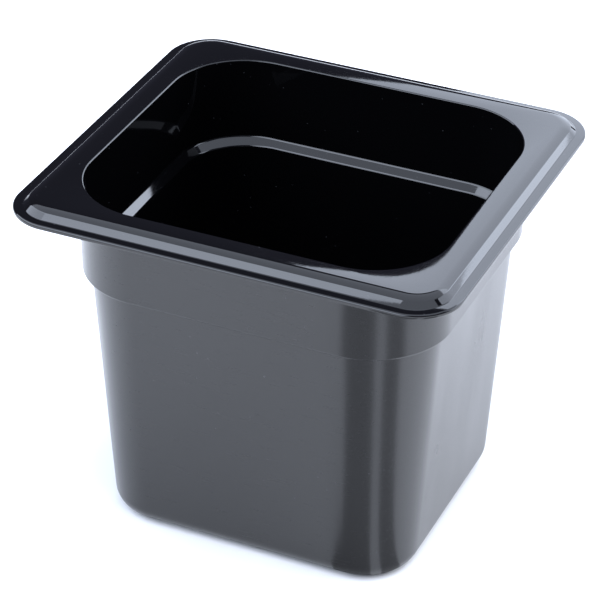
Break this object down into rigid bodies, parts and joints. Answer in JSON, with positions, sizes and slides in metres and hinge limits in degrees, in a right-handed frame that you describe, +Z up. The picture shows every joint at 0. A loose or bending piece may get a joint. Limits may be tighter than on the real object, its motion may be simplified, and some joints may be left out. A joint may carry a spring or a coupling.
{
  "type": "deli food pan",
  "caption": "Deep tapered black plastic food pan with a wide stepped rim, a stacking shoulder all round, rounded corners and a rounded base.",
  "frame": {"origin": "centre of the underside of the floor, on the surface the pan stands on", "axes": "+X along the longer side of the rim, +Y along the shorter side, +Z up out of the mouth"},
  "size_m": [0.176, 0.162, 0.146],
  "materials": {
    "black_polycarbonate": "black injection-moulded polycarbonate: polished inside and on the rim, fine satin texture on the outside of the walls"
  },
  "bodies": {
    "root": {"base_bend_back": "black_polycarbonate", "base_bend_front": "black_polycarbonate", "base_bend_left": "black_polycarbonate", "base_bend_right": "black_polycarbonate", "base_corner_back_left": "black_polycarbonate", "base_corner_back_right": "black_polycarbonate", "base_corner_front_left": "black_polycarbonate", "base_corner_front_right": "black_polycarbonate", "collar_back": "black_polycarbonate", "collar_corner_back_left": "black_polycarbonate", "collar_corner_back_right": "black_polycarbonate", "collar_corner_front_left": "black_polycarbonate", "collar_corner_front_right": "black_polycarbonate", "collar_front": "black_polycarbonate", "collar_left": "black_polycarbonate", "collar_right": "black_polycarbonate", "corner_post_back_left": "black_polycarbonate", "corner_post_back_right": "black_polycarbonate", "corner_post_front_left": "black_polycarbonate", "corner_post_front_right": "black_polycarbonate", "floor": "black_polycarbonate", "rim_back": "black_polycarbonate", "rim_corner_back_left": "black_polycarbonate", "rim_corner_back_right": "black_polycarbonate", "rim_corner_front_left": "black_polycarbonate", "rim_corner_front_right": "black_polycarbonate", "rim_front": "black_polycarbonate", "rim_left": "black_polycarbonate", "rim_right": "black_polycarbonate", "wall_back": "black_polycarbonate", "wall_front": "black_polycarbonate", "wall_left": "black_polycarbonate", "wall_right": "black_polycarbonate"}
  },
  "joints": []
}
